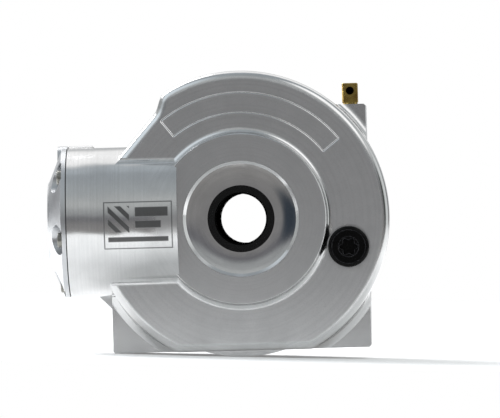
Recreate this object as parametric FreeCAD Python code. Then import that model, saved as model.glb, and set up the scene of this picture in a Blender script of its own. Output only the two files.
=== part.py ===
# Right-angle bevel gear drive in a machined aluminium case, with a hollow output spool.
# Millimetres. Origin: where the output axis (Y) meets the pinion axis (X). The front is -Y, +Z is up.
import FreeCAD, Part
import math
import os

V = FreeCAD.Vector
X, Y, Z = V(1, 0, 0), V(0, 1, 0), V(0, 0, 1)
O = V(0, 0, 0)

# ---- driving dimensions ----
# front disc of the case
disc_r = 103.7
disc_front_y = -31.5
disc_edge_r = 5.9
disc_back_y = -7.0
case_bottom_z = -92.5
ear_points = [(-54.0, 88.6), (-58.0, 76.0), (-92.5, 36.5)]
ear_bend_r = 16.0
ear_corner_r = 12.0
# blank engraved field and tool ring on the disc face
field_r = (74.5, 88.5)
field_angles = (38.0, 128.0)
groove_w = 1.3
groove_depth = 0.5
tool_ring_r = 68.2
tool_ring_w = 0.5
tool_ring_depth = 0.12
# raised ring round the output
ring_face_r = 59.2
ring_face_y = -36.5
ring_root_r = 5.0
ring_edge = 0.6
dish_r = 40.6
dish_lip_r = 38.5
dish_lip_y = -34.6
dish_floor_y = -33.0
dish_sag = 0.45
# gear case behind the disc
case_r = 96.8
case_back_y = 48.0
cavity_r = 81.0
cavity_front_y = -22.0
inner_boss_r = 50.0
# mounting block
block_left = -93.0
block_right = 88.5
block_top = 78.5
block_edge = 1.2
flare_r = 6.0
corner_hole_r = 4.25
corner_hole_x = 77.5
corner_hole_low_z = -80.0
corner_hole_high_z = 67.5
corner_hole_depth = 20.0
corner_pad_r = 8.5
corner_pad_t = 1.0
gusset_drop = 12.0
gusset_y = (12.0, 40.0)
# snout that holds the pinion
snout_r = 52.3
snout_root_r = 6.0
snout_end_x = -44.2
seam_x = -121.5
turned_step = 0.25
turned_end_x = -102.2
lug_angle = -15.0
lug_r = 10.6
lug_end_x = -105.0
pinion_seat_r = 36.0
pinion_seat_x = -84.0
pinion_room_r = 31.0
pinion_room_x = -50.6
# output seals, 35 x 47 x 7
lip_r = 17.4
seal_r = 23.5
seal_w = 7.0
front_seal_y = -32.2
rear_seal_y = 74.5
# output bearings, 45 x 85 x 19
journal_r = 22.5
out_brg_r = 42.5
out_brg_w = 19.0
front_brg_y = -20.5
rear_brg_y = 52.0
brg_ball_r = 5.5
brg_balls = 11
# pinion bearings, 35 x 72 x 17
pin_journal_r = 17.5
pin_brg_w = 17.0
pin_ball_r = 5.0
pin_balls = 10
brg_gap = 2.2
ball_clear = 0.3
# spool
spool_bore_r = 17.3
spline_root_r = 18.7
spline_teeth = 30
spline_len = 21.0
spool_front_y = -23.0
spool_rear_y = 73.5
spool_body_r = 27.0
flange_r = 57.0
flange_y = 34.0
flange_w = 8.0
# bevel gears
module = 3.8
ring_teeth = 40
pinion_teeth = 13
pressure_angle = 25.0
face_scale = 0.71
ring_add = 0.65
pinion_add = 0.95
clear_root = 0.25
backlash = 0.30
gear_hub_r = 44.0
ring_back_y = 34.0
ring_bolts = 10
ring_bolt_pcr = 50.5
ring_bolt_r = 4.0
ring_bolt_depth = 7.5
# rear cover
gasket_t = 0.8
cover_r = 92.8
cover_seat_gap = 1.0
cover_t = 11.2
cover_pocket_r = 64.0
cover_pocket_depth = 2.2
cover_boss_r = 50.0
cover_boss_y = 82.0
cover_ribs = 6
cover_screws = 12
cover_screw_pcr = 87.0
cover_screw_r = 3.0
cover_screw_grip = 14.0
dowel_r = 3.0
dowel_len = 16.0
# pinion cap
cap_rim = 3.3
cap_cone_x = -134.8
cap_end_x = -135.9
cap_flat_r = 29.0
cap_bore_r = 26.0
cap_pilot_r = 35.9
cap_pocket_r = 10.5
cap_pocket_sink = 0.6
cap_screws = 6
cap_screw_pcr = 45.0
cap_screw_r = 3.0
cap_head_r = 5.2
cap_head_h = 3.3
cap_screw_first = 45.0
cap_screw_grip = 16.0
pin_seal_r = 25.0
pin_seal_w = 7.4
shim_t = 0.9
nut_r = 22.5
nut_w = 5.0
# pinion shaft
pinion_shaft_end_x = -133.6
socket_r = 11.0
socket_root_r = 12.3
socket_teeth = 20
socket_depth = 36.0
socket_spline = 14.0
# plugs and vent
plug_x = 74.8
plug_z = -21.4
plug_head_r = 14.4
plug_head_t = 5.6
plug_thread_r = 10.0
plug_spot_r = 15.3
plug_spot_depth = 0.7
plug_socket_r = 5.6
plug_lobes = 6
oring_r = 1.1
drain_z = -70.0
drain_r = 8.0
drain_head_r = 11.5
vent_x = 77.6
vent_y = 18.0
vent_w = 11.2
vent_h = 15.0
vent_hole_r = 2.8
vent_thread_r = 4.6
vent_thread_len = 11.0
vent_port_z = 9.6
vent_port_depth = 4.0
vent_bore_r = 2.2
thin = 0.05


# ---- small helpers ----
def ring(r_out, r_in, y0, length, axis=Y, base=O):
    """Tube along an axis, starting at y0 along it."""
    at = base + axis * y0
    tube = Part.makeCylinder(r_out, length, at, axis)
    if r_in > 0:
        tube = tube.cut(Part.makeCylinder(r_in, length, at, axis))
    return tube


def revolve_y(points):
    """Solid of revolution about the Y axis from (radius, y) corners."""
    wire = Part.makePolygon([V(r, y, 0) for r, y in points + points[:1]])
    return Part.Face(wire).revolve(O, Y, 360)


def revolve_x(points):
    """Solid of revolution about the X axis from (x, radius) corners."""
    wire = Part.makePolygon([V(x, r, 0) for x, r in points + points[:1]])
    return Part.Face(wire).revolve(O, X, 360)


def on_circle(radius, angle, y):
    """Point at a radius round the Y axis, its angle measured from +X towards +Z."""
    a = math.radians(angle)
    return V(radius * math.cos(a), y, radius * math.sin(a))


def on_snout(radius, angle, x):
    """Point at a radius round the X axis, its angle measured from the top towards the front."""
    a = math.radians(angle)
    return V(x, -radius * math.sin(a), radius * math.cos(a))


def prism_y(points, y0, y1):
    """Prism along Y from (x, z) corners."""
    wire = Part.makePolygon([V(x, y0, z) for x, z in points + points[:1]])
    return Part.Face(wire).extrude(V(0, y1 - y0, 0))


def hexagon(across, at, axis, length):
    """Hexagonal prism, for socket holes and nuts."""
    radius = across / math.sqrt(3)
    side = Y if abs(axis.dot(X)) > 0.5 else X
    other = axis.cross(side)
    pts = []
    for k in range(7):
        a = math.radians(60 * k)
        pts.append(at + side * (radius * math.cos(a)) + other * (radius * math.sin(a)))
    return Part.Face(Part.makePolygon(pts)).extrude(axis * length)


def lobed_prism(r_mid, wave, lobes, at, axis, length):
    """Prism with a wavy outline, for a lobed drive socket."""
    side = Y if abs(axis.dot(X)) > 0.5 else X
    other = axis.cross(side)
    pts = []
    count = lobes * 8
    for k in range(count):
        a = 2 * math.pi * k / count
        r = r_mid + wave * math.cos(lobes * a)
        pts.append(at + side * (r * math.cos(a)) + other * (r * math.sin(a)))
    curve = Part.BSplineCurve()
    curve.interpolate(pts, PeriodicFlag=True)
    return Part.Face(Part.Wire(curve.toShape())).extrude(axis * length)


def splines(r_in, r_out, teeth, at, axis, length):
    """Grooves of an internal spline as one cutting shape."""
    side = Y if abs(axis.dot(X)) > 0.5 else X
    turn = 360.0 / teeth
    half_in = math.pi * r_in / teeth * 0.55
    half_out = half_in * 0.62
    other = axis.cross(side)
    start = r_in - 0.8
    pts = [at + side * start - other * half_in, at + side * r_in - other * half_in,
           at + side * r_out - other * half_out, at + side * r_out + other * half_out,
           at + side * r_in + other * half_in, at + side * start + other * half_in]
    groove = Part.Face(Part.makePolygon(pts + pts[:1])).extrude(axis * length)
    grooves = []
    for k in range(teeth):
        one = groove.copy()
        one.rotate(at, axis, k * turn)
        grooves.append(one)
    return Part.makeCompound(grooves)


def cap_screw(r, head_r, head_h, length, at, axis, socket):
    """Socket head screw; at is under the head, axis points along the shank."""
    head = Part.makeCylinder(head_r, head_h, at - axis * head_h, axis)
    top = [e for e in head.Edges if abs((e.CenterOfMass - (at - axis * head_h)).Length) < 0.01]
    head = head.makeChamfer(0.5, top)
    shank = Part.makeCylinder(r, length, at, axis)
    tip = [e for e in shank.Edges if abs((e.CenterOfMass - (at + axis * length)).Length) < 0.01]
    shank = shank.makeChamfer(0.6, tip)
    screw = head.fuse(shank)
    return screw.cut(hexagon(socket, at - axis * head_h, axis, head_h * 0.6))


def one_solid(shape):
    """The single closed solid of a shape, with its split faces joined."""
    shape = shape.removeSplitter()
    if len(shape.Solids) == 1:
        return shape.Solids[0]
    return shape


def save(name, shape):
    """Write one named piece and print its volume."""
    valid = all(s.isValid() for s in shape.Solids)
    print("%-24s solids %2d valid %s volume %.0f" % (name, len(shape.Solids), valid, shape.Volume))
    shape.exportStep("parts/%s.step" % name)


# ---- case ----
def ear_cutter(grow=0.0):
    """Everything outside the cut-back upper left edge of the case, for the full depth."""
    line = [(x + grow, z) for x, z in ear_points]
    far = 140.0
    end_z = line[-1][1]
    cutter = prism_y(line + [(-far, end_z), (-far, far), (line[0][0], far)], -60, 120)
    x, z = line[1]
    bend = [e for e in cutter.Edges
            if abs(e.CenterOfMass.x - x) < 0.01 and abs(e.CenterOfMass.z - z) < 0.01]
    return cutter.makeFillet(ear_bend_r, bend)


def disc():
    """Front disc with a rounded edge, cut flat below and cut back at the upper left."""
    plate = Part.makeCylinder(disc_r, disc_back_y - disc_front_y, V(0, disc_front_y, 0), Y)
    below = Part.makeBox(300, 100, 60, V(-150, -60, case_bottom_z - 60))
    plate = plate.cut(below).cut(ear_cutter()).removeSplitter()
    corner = [e for e in plate.Edges if e.BoundBox.YLength > disc_back_y - disc_front_y - 1
              and (e.CenterOfMass - V(ear_points[0][0], e.CenterOfMass.y, ear_points[0][1])).Length < 1]
    plate = plate.makeFillet(ear_corner_r, corner)
    front = [e for e in plate.Edges
             if abs(e.BoundBox.YMin - disc_front_y) < 0.01 and abs(e.BoundBox.YMax - disc_front_y) < 0.01]
    return plate.makeFillet(disc_edge_r, front)


def root_profile(r, y, fillet, out):
    """Closed (radius, y) outline of a concave root fillet that ends at radius r + fillet."""
    centre = V(r + fillet, y - out * fillet, 0)
    mid = centre + V(-fillet * math.cos(math.pi / 4), out * fillet * math.sin(math.pi / 4), 0)
    arc = Part.Arc(V(r, y - out * fillet, 0), mid, V(r + fillet, y, 0)).toShape()
    down = Part.makeLine(V(r + fillet, y, 0), V(r - 1, y, 0))
    back = Part.makeLine(V(r - 1, y, 0), V(r - 1, y - out * fillet, 0))
    close = Part.makeLine(V(r - 1, y - out * fillet, 0), V(r, y - out * fillet, 0))
    return Part.Face(Part.Wire([arc, down, back, close]))


def raised_ring():
    """Raised ring round the output, with its root fillet on the disc."""
    edge_r = ring_face_r + ring_edge
    body = revolve_y([(0, disc_front_y + 1), (0, ring_face_y), (ring_face_r, ring_face_y),
                      (edge_r, ring_face_y + ring_edge), (edge_r, disc_front_y + 1)])
    height = disc_front_y - ring_face_y - ring_edge
    root = root_profile(edge_r, disc_front_y, min(ring_root_r, height), 1).revolve(O, Y, 360)
    return body.fuse(root)


def block():
    """Square mounting block behind the disc, with its flare where the disc side meets it."""
    pts = [(block_left, case_bottom_z), (block_right, case_bottom_z),
           (block_right, block_top), (block_left, block_top)]
    body = prism_y(pts, disc_back_y, case_back_y)
    flare = root_profile(disc_r, disc_back_y, flare_r, 1).revolve(O, Y, 360)
    flare = flare.common(prism_y(pts, disc_front_y, disc_back_y))
    edges = [e for e in body.Edges if e.BoundBox.YLength > case_back_y - disc_back_y - 1]
    return body.makeChamfer(block_edge, edges).fuse(flare)


def front_dish():
    """Concave dish round the front seal, as a cutter."""
    slope = (dish_lip_y - ring_face_y) / (dish_r - dish_lip_r)
    over = 1.0
    mouth_r = dish_r + over / slope
    low = V(seal_r + 1.0, dish_floor_y, 0)
    lip = V(dish_lip_r, dish_lip_y, 0)
    middle = (low + lip) * 0.5 + V(0, dish_sag, 0)
    out_y = ring_face_y - over
    corners = [lip, V(mouth_r, out_y, 0), V(0, out_y, 0), V(0, dish_floor_y, 0), low]
    edges = [Part.makeLine(a, b) for a, b in zip(corners, corners[1:])]
    edges.append(Part.Arc(low, middle, lip).toShape())
    return Part.Face(Part.Wire(edges)).revolve(O, Y, 360)


def snout_root(side):
    """Fillet strip between the disc face and the snout on one side (+1 top, -1 bottom)."""
    r = snout_root_r
    cy = disc_front_y - r
    cz = math.sqrt((snout_r + r) ** 2 - cy ** 2)
    k = snout_r / (snout_r + r)
    on_plane = V(0, disc_front_y, cz * side)
    on_tube = V(0, cy * k, cz * k * side)
    toward = (V(0, disc_front_y, cz * k * side) - V(0, cy, cz * side)).normalize()
    mid = V(0, cy, cz * side) + toward * r
    inside = V(0, disc_front_y + 2, cz * k * 0.95 * side)
    face = Part.Face(Part.Wire([Part.Arc(on_plane, mid, on_tube).toShape(),
                                Part.makeLine(on_tube, inside),
                                Part.makeLine(inside, V(0, disc_front_y + 2, cz * side)),
                                Part.makeLine(V(0, disc_front_y + 2, cz * side), on_plane)]))
    face.translate(V(block_left - 20, 0, 0))
    return face.extrude(V(snout_end_x - block_left + 20, 0, 0))


def snout():
    """Round housing of the pinion, with a lug at its top screw and a finely turned end band."""
    body = Part.makeCylinder(snout_r, snout_end_x - seam_x, V(seam_x, 0, 0), X)
    band = ring(snout_r + 1, snout_r - turned_step, seam_x, turned_end_x - seam_x, X)
    body = body.cut(band)
    at = on_snout(cap_screw_pcr, lug_angle, seam_x)
    lug = Part.makeCylinder(lug_r, lug_end_x - seam_x, at, X)
    nose = Part.makeCone(lug_r, lug_r - 4.5, 4.5, at + X * (lug_end_x - seam_x), X)
    return body.fuse(lug).fuse(nose)


def main_housing():
    """Case, block and snout in one machined piece, open at the back."""
    case = Part.makeCylinder(case_r, case_back_y - disc_front_y - 12, V(0, disc_front_y + 12, 0), Y)
    shell = block().fuse(case).cut(ear_cutter(0.4)).fuse(disc())
    strips = snout_root(1).fuse(snout_root(-1)).common(
        Part.makeCylinder(disc_r - 1.5, 30, V(0, disc_front_y - 12, 0), Y)).cut(ear_cutter(2.0))
    shell = shell.fuse([raised_ring(), snout(), strips])
    low, high = gusset_y
    drop_z = -snout_r + 2
    web = prism_y([(block_left + 1, drop_z), (block_left - gusset_drop, drop_z),
                   (block_left, drop_z - gusset_drop), (block_left + 1, drop_z - gusset_drop)], low, high)
    shell = shell.fuse([web] + corner_pads())
    # room for the gears and the bearing seats
    cavity = Part.makeCylinder(cavity_r, 100, V(0, cavity_front_y, 0), Y)
    boss = ring(inner_boss_r, 0, cavity_front_y, front_brg_y + out_brg_w - cavity_front_y)
    cavity = cavity.cut(boss)
    pinion_room = Part.makeCylinder(pinion_room_r, pinion_room_x - seam_x, V(seam_x, 0, 0), X)
    pinion_seat = Part.makeCylinder(pinion_seat_r, pinion_seat_x - seam_x, V(seam_x, 0, 0), X)
    bearing_seat = Part.makeCylinder(out_brg_r, 60, V(0, front_brg_y, 0), Y)
    shoulder = Part.makeCylinder(out_brg_r - 5, 12, V(0, front_brg_y - 1.5, 0), Y)
    relief = Part.makeCylinder(journal_r + 4, 30, V(0, front_seal_y + seal_w, 0), Y)
    seal_seat = Part.makeCylinder(seal_r, 30, V(0, dish_floor_y - 1, 0), Y)
    dish = front_dish()
    cover_seat = Part.makeCylinder(cover_r + cover_seat_gap, 20, V(0, case_back_y, 0), Y)
    shell = shell.cut([cavity, pinion_room, pinion_seat, bearing_seat, shoulder, relief, seal_seat, dish,
                       cover_seat, field_groove(),
                       ring(tool_ring_r + tool_ring_w, tool_ring_r, disc_front_y - 0.01, tool_ring_depth)])
    return one_solid(shell.cut(housing_holes()))


def corner_spots():
    """Places of the three mounting holes as (x, z)."""
    return [(-corner_hole_x, corner_hole_low_z), (corner_hole_x, corner_hole_low_z),
            (corner_hole_x, corner_hole_high_z)]


def corner_pads():
    """Round machined pads that the mounting holes open on."""
    return [Part.makeCylinder(corner_pad_r, 2 + corner_pad_t, V(x, case_back_y - 2, z), Y)
            for x, z in corner_spots()]


def field_groove():
    """V groove that runs round a blank field on the disc, as a cutter."""
    low, high = field_r
    start, end = field_angles
    over = 1.5
    floor_y = disc_front_y + groove_depth
    top_y = disc_front_y - over
    half = groove_w / 2 * (1 + over / groove_depth)
    cuts = []
    for radius in field_r:
        vee = Part.makePolygon([V(radius - half, top_y, 0), V(radius, floor_y, 0),
                                V(radius + half, top_y, 0), V(radius - half, top_y, 0)])
        vee = Part.Face(vee)
        vee.rotate(O, Y, -end)
        cuts.append(vee.revolve(O, Y, end - start))
    for angle in field_angles:
        vee = Part.makePolygon([V(low, top_y, -half), V(low, floor_y, 0),
                                V(low, top_y, half), V(low, top_y, -half)])
        vee = Part.Face(vee).extrude(X * (high - low))
        vee.rotate(O, Y, -angle)
        cuts.append(vee)
    return Part.makeCompound(cuts)


def housing_holes():
    """Tapped and drilled holes of the case as one list of cutters."""
    holes = []
    face_y = case_back_y + corner_pad_t
    for x, z in corner_spots():
        holes.append(Part.makeCylinder(corner_hole_r, corner_hole_depth + 5,
                                       V(x, face_y - corner_hole_depth, z), Y))
    for angle in cover_screw_angles():
        at = on_circle(cover_screw_pcr, angle, case_back_y - cover_screw_grip)
        holes.append(Part.makeCylinder(cover_screw_r, cover_screw_grip + 5, at, Y))
    for angle in dowel_angles():
        at = on_circle(cover_screw_pcr, angle, case_back_y - dowel_len / 2)
        holes.append(Part.makeCylinder(dowel_r, dowel_len, at, Y))
    for k in range(cap_screws):
        at = on_snout(cap_screw_pcr, cap_screw_first + 60 * k, seam_x - 1)
        holes.append(Part.makeCylinder(cap_screw_r, cap_screw_grip + 2, at, X))
    plug_at = V(plug_x, disc_front_y - 20, plug_z)
    holes.append(Part.makeCylinder(plug_thread_r, 40, plug_at, Y))
    holes.append(Part.makeCylinder(plug_spot_r, 20 + plug_spot_depth, plug_at, Y))
    holes.append(Part.makeCylinder(vent_thread_r, vent_thread_len + 5,
                                   V(vent_x, vent_y, block_top - vent_thread_len), Z))
    holes.append(Part.makeCylinder(vent_hole_r, block_top - 24, V(vent_x, vent_y, 24), Z))
    return holes


def cover_screw_angles():
    """Angles of the cover screws."""
    return [15 + 360.0 * k / cover_screws for k in range(cover_screws)]


def dowel_angles():
    """Angles of the two cover dowels."""
    return [120, 300]


# ---- rear cover ----
def rear_cover():
    """Round cover behind the gears, with the rear bearing boss, ribs and the drain hole."""
    y0 = case_back_y + gasket_t
    plate = Part.makeCylinder(cover_r, cover_t, V(0, y0, 0), Y)
    rim = [e for e in plate.Edges if abs(e.BoundBox.YMin - y0 - cover_t) < 0.01]
    plate = plate.makeChamfer(1.5, rim)
    boss = revolve_y([(0, y0 + 2), (cover_boss_r + 4, y0 + 2), (cover_boss_r + 4, y0 + cover_t),
                      (cover_boss_r, y0 + cover_t + 4), (cover_boss_r, cover_boss_y - 2),
                      (cover_boss_r - 2, cover_boss_y), (0, cover_boss_y)])
    shell = plate.fuse(boss)
    rib = Part.Face(Part.makePolygon([V(30, y0 + 6, -4), V(cover_r - 13, y0 + 6, -4),
                                      V(cover_r - 13, y0 + cover_t + 1, -4),
                                      V(cover_boss_r, cover_boss_y - 6, -4),
                                      V(30, cover_boss_y - 6, -4), V(30, y0 + 6, -4)])).extrude(Z * 8)
    for k in range(cover_ribs):
        one = rib.copy()
        one.rotate(O, Y, 360.0 * k / cover_ribs)
        shell = shell.fuse(one)
    seat = Part.makeCylinder(out_brg_r, out_brg_w + 4, V(0, rear_brg_y - 4, 0), Y)
    pocket = Part.makeCylinder(cover_pocket_r, 4 + cover_pocket_depth, V(0, y0 - 4, 0), Y)
    relief = Part.makeCylinder(journal_r + 4, 10, V(0, rear_brg_y + out_brg_w - 5, 0), Y)
    seal_seat = Part.makeCylinder(seal_r, 20, V(0, rear_seal_y, 0), Y)
    floor_y = rear_seal_y + seal_w + 0.2
    dish = revolve_y([(0, cover_boss_y + 1), (dish_r + 0.5, cover_boss_y + 1),
                      (dish_lip_r, cover_boss_y - 1.2), (seal_r + 0.8, floor_y), (0, floor_y)])
    shell = shell.cut([seat, pocket, relief, seal_seat, dish])
    holes = []
    for angle in cover_screw_angles():
        at = on_circle(cover_screw_pcr, angle, y0 - 1)
        holes.append(Part.makeCylinder(cover_screw_r + 0.3, cover_t + 5, at, Y))
    for angle in dowel_angles():
        holes.append(Part.makeCylinder(dowel_r, 8 + thin, on_circle(cover_screw_pcr, angle, y0 - thin), Y))
    holes.append(Part.makeCylinder(drain_r, 40, V(0, y0 - 10, drain_z), Y))
    return one_solid(shell.cut(holes))


def rear_cover_gasket():
    """Flat gasket between case and cover."""
    sheet = ring(cover_r - 0.4, cavity_r + 0.3, case_back_y, gasket_t)
    holes = []
    for angle in cover_screw_angles() + dowel_angles():
        at = on_circle(cover_screw_pcr, angle, case_back_y - 1)
        holes.append(Part.makeCylinder(cover_screw_r + 0.4, 5, at, Y))
    return one_solid(sheet.cut(holes))


def rear_cover_screws():
    """M6 socket screws of the rear cover."""
    under = case_back_y + gasket_t + cover_t
    screws = []
    for angle in cover_screw_angles():
        at = on_circle(cover_screw_pcr, angle, under)
        screws.append(cap_screw(cover_screw_r, 5.0, 6.0, cover_t + cover_screw_grip - 3, at, V(0, -1, 0), 5))
    return Part.makeCompound(screws)


def cover_dowel_pins():
    """Two dowels that place the cover."""
    pins = []
    for angle in dowel_angles():
        at = on_circle(cover_screw_pcr, angle, case_back_y - dowel_len / 2)
        pin = Part.makeCylinder(dowel_r, dowel_len, at, Y)
        pins.append(pin.makeChamfer(0.5, [e for e in pin.Edges if e.BoundBox.YLength < 0.01]))
    return Part.makeCompound(pins)


# ---- pinion cap ----
def pinion_cap():
    """Conical cap on the snout that carries the pinion seal."""
    x0 = seam_x - gasket_t
    rim_r = snout_r
    body = revolve_x([(x0, 0), (x0, rim_r), (x0 - cap_rim, rim_r), (cap_cone_x, cap_flat_r + 0.8),
                      (cap_end_x, cap_flat_r - 0.8), (cap_end_x, 0)])
    lug = Part.makeCylinder(lug_r, 7.0, on_snout(cap_screw_pcr, lug_angle, x0 - 7.0), X)
    pilot = Part.makeCylinder(cap_pilot_r, 1.1 + thin, V(x0 - thin, 0, 0), X)
    body = body.fuse([lug, pilot])
    cuts = [Part.makeCylinder(cap_bore_r + 5, 2.2, V(x0 - 1, 0, 0), X),
            Part.makeCylinder(cap_bore_r, 10, V(x0 - 4.9, 0, 0), X),
            Part.makeCylinder(pin_seal_r, 10, V(cap_end_x - 10 + pin_seal_w + 0.3, 0, 0), X),
            Part.makeCylinder(pin_seal_r - 3, 20, V(cap_end_x, 0, 0), X)]
    for k in range(cap_screws):
        angle = cap_screw_first + 60 * k
        at = on_snout(cap_screw_pcr, angle, x0 + 1)
        cuts.append(Part.makeCylinder(cap_screw_r + 0.4, 30, at, V(-1, 0, 0)))
        floor = on_snout(cap_screw_pcr, angle, x0 - cap_rim + cap_pocket_sink)
        cuts.append(Part.makeCylinder(cap_pocket_r, 30, floor, V(-1, 0, 0)))
    return one_solid(body.cut(cuts))


def pinion_cap_gasket():
    """Flat gasket between snout and cap."""
    sheet = ring(snout_r - 0.5, cap_pilot_r + 0.2, seam_x - gasket_t, gasket_t, X)
    lug = Part.makeCylinder(lug_r - 0.5, gasket_t, on_snout(cap_screw_pcr, lug_angle, seam_x - gasket_t), X)
    lug = lug.cut(Part.makeCylinder(cap_pilot_r + 0.2, 4, V(seam_x - 2, 0, 0), X))
    holes = []
    for k in range(cap_screws):
        at = on_snout(cap_screw_pcr, cap_screw_first + 60 * k, seam_x - 3)
        holes.append(Part.makeCylinder(cap_screw_r + 0.4, 6, at, X))
    return one_solid(sheet.fuse(lug).cut(holes))


def pinion_cap_screws():
    """M6 low head socket screws of the pinion cap, sunk in its pockets."""
    under = seam_x - gasket_t - cap_rim + cap_pocket_sink
    screws = []
    for k in range(cap_screws):
        at = on_snout(cap_screw_pcr, cap_screw_first + 60 * k, under)
        screws.append(cap_screw(cap_screw_r, cap_head_r, cap_head_h, cap_rim + cap_screw_grip - 2, at, X, 4))
    return Part.makeCompound(screws)


# ---- bearings ----
def bearing(r_in, r_out, width, ball_r, balls, start, axis):
    """Deep groove ball bearing: inner race, outer race, and balls held in a cage of two rings."""
    mid_r = (r_in + r_out) / 2
    centre = axis * (start + width / 2)
    wall = (r_out - r_in) * 0.29
    track = Part.makeTorus(mid_r, ball_r + ball_clear, centre, axis)
    inner = ring(r_in + wall, r_in, start, width, axis).cut(track)
    outer = ring(r_out, r_out - wall, start, width, axis).cut(track)
    side = Z
    ball_list = []
    for k in range(balls):
        ball = Part.makeSphere(ball_r, centre + side * mid_r)
        ball.rotate(centre, axis, 360.0 * k / balls)
        ball_list.append(ball)
    cage_w = ball_r * 2 + 1.8
    cage = ring(mid_r + 1.1, mid_r - 1.1, start + (width - cage_w) / 2, cage_w, axis)
    holes = []
    for ball in ball_list:
        way = (ball.CenterOfMass - centre).normalize()
        holes.append(Part.makeCylinder(ball_r + 0.08, ball_r * 2, centre + way * (mid_r - ball_r), way))
    cage = cage.cut(holes)
    return one_solid(inner), one_solid(outer), Part.makeCompound([one_solid(cage)] + ball_list)


def oil_seal(r_out, r_lip, width, start, axis, open_way):
    """Rubber covered lip seal; open_way is +1 where its hollow side faces along the axis."""
    skin = 1.6
    web = 2.0
    lip_w = width * 0.62
    if open_way > 0:
        pts = [(0, r_out), (width, r_out), (width, r_out - skin), (web, r_out - skin - 0.6),
               (web, r_lip + 2.6), (lip_w, r_lip + 2.4), (lip_w, r_lip + 0.7), (lip_w * 0.75, r_lip),
               (web * 0.5, r_lip + 1.4), (0, r_lip + 1.2)]
    else:
        pts = [(width, r_out), (0, r_out), (0, r_out - skin), (width - web, r_out - skin - 0.6),
               (width - web, r_lip + 2.6), (width - lip_w, r_lip + 2.4), (width - lip_w, r_lip + 0.7),
               (width - lip_w * 0.75, r_lip), (width - web * 0.5, r_lip + 1.4), (width, r_lip + 1.2)]
    if abs(axis.dot(Y)) > 0.5:
        return one_solid(revolve_y([(r, start + s) for s, r in pts]))
    return one_solid(revolve_x([(start + s, r) for s, r in pts]))


# ---- gears ----
def involute_flank(base_r, r):
    """Polar angle that an involute has turned through at radius r."""
    if r <= base_r:
        return 0.0
    a = math.acos(base_r / r)
    return math.tan(a) - a


def tooth_outline(teeth, cone_angle, addendum, dedendum):
    """Half widths of a tooth by height over the pitch line, at the large end."""
    pitch_r = module * teeth / 2 / math.cos(math.radians(cone_angle))
    base_r = pitch_r * math.cos(math.radians(pressure_angle))
    half_pitch = (math.pi * module / 2 - backlash) / 2 / pitch_r
    at_pitch = involute_flank(base_r, pitch_r)
    steps = 5
    sides = []
    for k in range(steps + 1):
        h = -dedendum + (addendum + dedendum) * k / steps
        r = pitch_r + h
        half = half_pitch + at_pitch - involute_flank(base_r, r)
        sides.append((r * math.cos(half) - pitch_r, r * math.sin(half)))
    return sides


def bevel_tooth(teeth, cone_angle, addendum, dedendum, pitch_point, outward, across):
    """One straight bevel tooth, lofted from its large end to its small end towards the apex."""
    sides = tooth_outline(teeth, cone_angle, addendum, dedendum)
    foot_h, foot_w = sides[0]
    sides = [(foot_h - 0.8, foot_w)] + sides
    left = [pitch_point + outward * h - across * w for h, w in sides]
    right = [pitch_point + outward * h + across * w for h, w in reversed(sides)]
    pts = left + right
    large = Part.makePolygon(pts + pts[:1])
    small_pts = [p * face_scale for p in pts]
    small = Part.makePolygon(small_pts + small_pts[:1])
    return Part.makeLoft([large, small], True, True)


def gear_sizes():
    """Pitch radii, cone angle of the pinion and tooth heights."""
    ring_r = module * ring_teeth / 2
    pinion_r = module * pinion_teeth / 2
    cone = math.degrees(math.atan2(pinion_r, ring_r))
    ring_a = module * ring_add
    pinion_a = module * pinion_add
    ring_d = pinion_a + clear_root * module
    pinion_d = ring_a + clear_root * module
    return ring_r, pinion_r, cone, ring_a, ring_d, pinion_a, pinion_d


def ring_gear():
    """Bevel ring gear, bored for the spool and tapped for its bolts."""
    ring_r, pinion_r, cone, ring_a, ring_d, pinion_a, pinion_d = gear_sizes()
    c = math.radians(cone)
    outward = V(-math.sin(c), -math.cos(c), 0)
    heel = V(-ring_r, pinion_r, 0)
    root_heel = heel - outward * ring_d
    root_toe = root_heel * face_scale
    back_r = -root_heel.x + 1.2
    inner_r, outer_r = -root_toe.x, -root_heel.x
    blank = revolve_y([(gear_hub_r, root_toe.y + 1.0), (inner_r - 3, root_toe.y + 1.0),
                       (inner_r, root_toe.y), (outer_r, root_heel.y), (back_r, root_heel.y + 1.2),
                       (back_r, ring_back_y - 0.8), (back_r - 0.8, ring_back_y), (gear_hub_r, ring_back_y)])
    tooth = bevel_tooth(ring_teeth, 90 - cone, ring_a, ring_d, heel, outward, Z)
    teeth = []
    for k in range(ring_teeth):
        one = tooth.copy()
        one.rotate(O, Y, 360.0 * (k + 0.5) / ring_teeth)
        teeth.append(one)
    gear = blank.fuse(teeth)
    holes = []
    for k in range(ring_bolts):
        at = on_circle(ring_bolt_pcr, 360.0 * k / ring_bolts, ring_back_y - ring_bolt_depth)
        holes.append(Part.makeCylinder(ring_bolt_r, ring_bolt_depth + 5, at, Y))
    return one_solid(gear.cut(holes))


def ring_gear_bolts():
    """M8 screws that hold the ring gear to the spool flange."""
    under = flange_y + flange_w
    bolts = []
    for k in range(ring_bolts):
        at = on_circle(ring_bolt_pcr, 360.0 * k / ring_bolts, under)
        bolts.append(cap_screw(ring_bolt_r, 6.2, 5.0, flange_w + ring_bolt_depth - 1.5, at, V(0, -1, 0), 5))
    return Part.makeCompound(bolts)


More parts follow.
